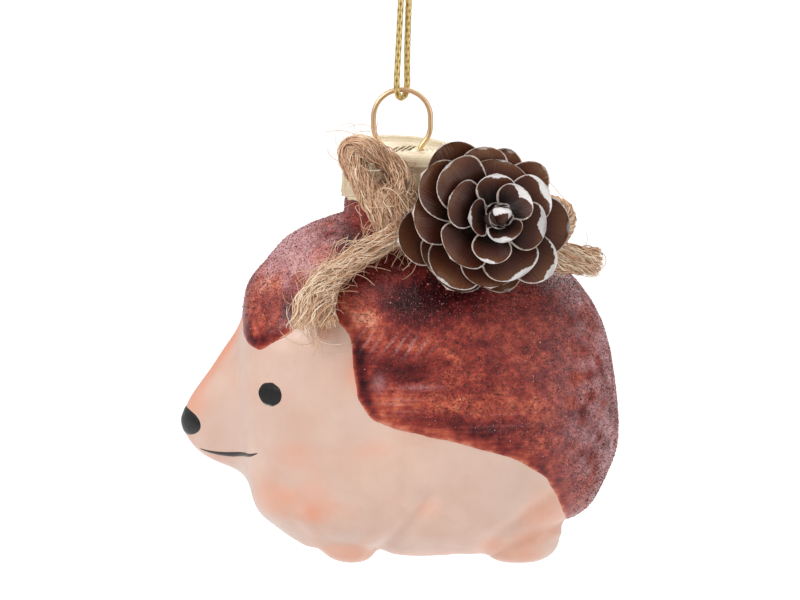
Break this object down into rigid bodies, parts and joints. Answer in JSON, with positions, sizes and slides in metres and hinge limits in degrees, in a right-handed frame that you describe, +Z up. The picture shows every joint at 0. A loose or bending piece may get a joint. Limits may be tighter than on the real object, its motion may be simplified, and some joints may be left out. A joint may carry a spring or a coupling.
{
  "type": "hedgehog hanging ornament",
  "caption": "Blown glass hedgehog ornament with a bead-crusted back, a pressed metal cap with a spring wire ring, a jute bow, a pine cone and a gold hanging cord.",
  "frame": {"origin": "the hanging point, under the knot of the hanging cord and between its two strands", "axes": "+Z up along the hanging cord; the hedgehog faces -X; its left side, with the bow and the cone, is -Y"},
  "size_m": [0.0911, 0.0709, 0.1304],
  "materials": {
    "pearl_glass": "pearly cream-pink airbrushed lacquer over blown glass",
    "bead_coat": "translucent red-brown varnish crusted with fine beads and glitter",
    "black_enamel": "glossy near-black enamel",
    "brown_enamel": "dark brown enamel",
    "cap_metal": "pressed champagne-coloured sheet, matte",
    "bail_wire": "bright rose-gold wire",
    "gold_cord": "braided gold metallic cord",
    "jute": "hairy natural jute twine",
    "cone_wood": "varnished brown pine cone scales with pale tips",
    "glue": "clear-yellow hot-melt glue"
  },
  "bodies": {
    "hanger": {"hanging_cord": "gold_cord", "cord_knot": "gold_cord"},
    "bail": {"wire_bail": "bail_wire"},
    "cap": {"crown_cap": "cap_metal"},
    "ornament": {"glass_body": "pearl_glass", "bead_coat": "bead_coat", "eye_left": "black_enamel", "eye_right": "black_enamel", "mouth_left": "brown_enamel", "mouth_right": "brown_enamel", "nose_tip": "brown_enamel", "bow_knot": "jute", "bow_loop_left": "jute", "bow_loop_right": "jute", "bow_tail_left": "jute", "bow_tail_right": "jute", "cone_core": "cone_wood", "cone_bud": "cone_wood", "cone_scales_base": "cone_wood", "cone_scales_lower": "cone_wood", "cone_scales_middle": "cone_wood", "cone_scales_upper": "cone_wood", "cone_scales_tip": "cone_wood", "cone_glue": "glue"}
  },
  "joints": [
    {"name": "ring_swing", "type": "hinge", "parent": "hanger", "child": "bail", "pos_m": [-0.0009, 0, -0.0255], "axis": [1, 0, 0], "range_deg": [-70, 70]},
    {"name": "bail_tilt", "type": "hinge", "parent": "bail", "child": "cap", "pos_m": [-0.0009, 0, -0.0383], "axis": [1, 0, 0], "range_deg": [-8, 8]},
    {"name": "cap_pull", "type": "slide", "parent": "cap", "child": "ornament", "axis": [0, 0, -1], "range_m": [0, 0.014]}
  ]
}
